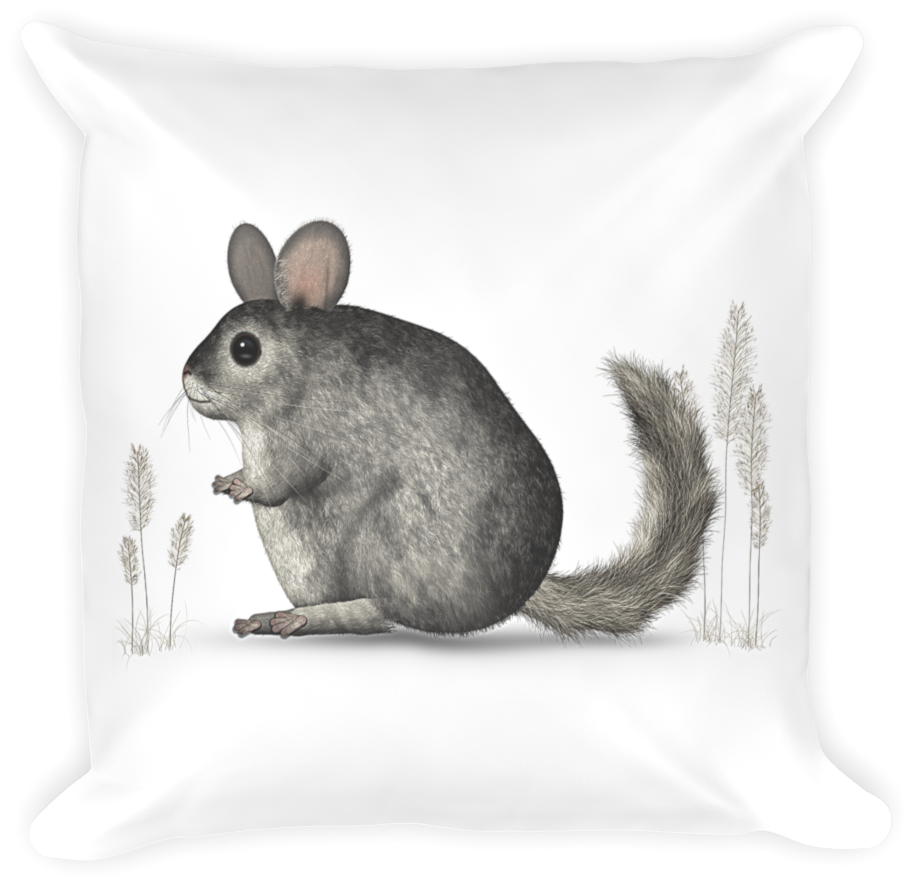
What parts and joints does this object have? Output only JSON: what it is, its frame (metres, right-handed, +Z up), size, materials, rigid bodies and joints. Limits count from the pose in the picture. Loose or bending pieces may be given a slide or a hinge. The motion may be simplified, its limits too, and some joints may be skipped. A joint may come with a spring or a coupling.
{
  "type": "throw pillow",
  "caption": "Square stuffed throw pillow lying face up, with a sewn two-panel fabric cover, pinched corners and a crowned front that carries a print.",
  "frame": {"origin": "bottom centre of the pillow's box, on the surface it lies on", "axes": "+Z up, out of the printed face; +Y towards the print's top edge; +X to the print's right"},
  "size_m": [0.4551, 0.4388, 0.1501],
  "materials": {
    "cover_fabric": "white satin-weave polyester",
    "insert_fabric": "plain woven polyester filled with fibre"
  },
  "bodies": {
    "root": {"cover_front": "cover_fabric", "cover_back": "cover_fabric", "insert": "insert_fabric"}
  },
  "joints": []
}
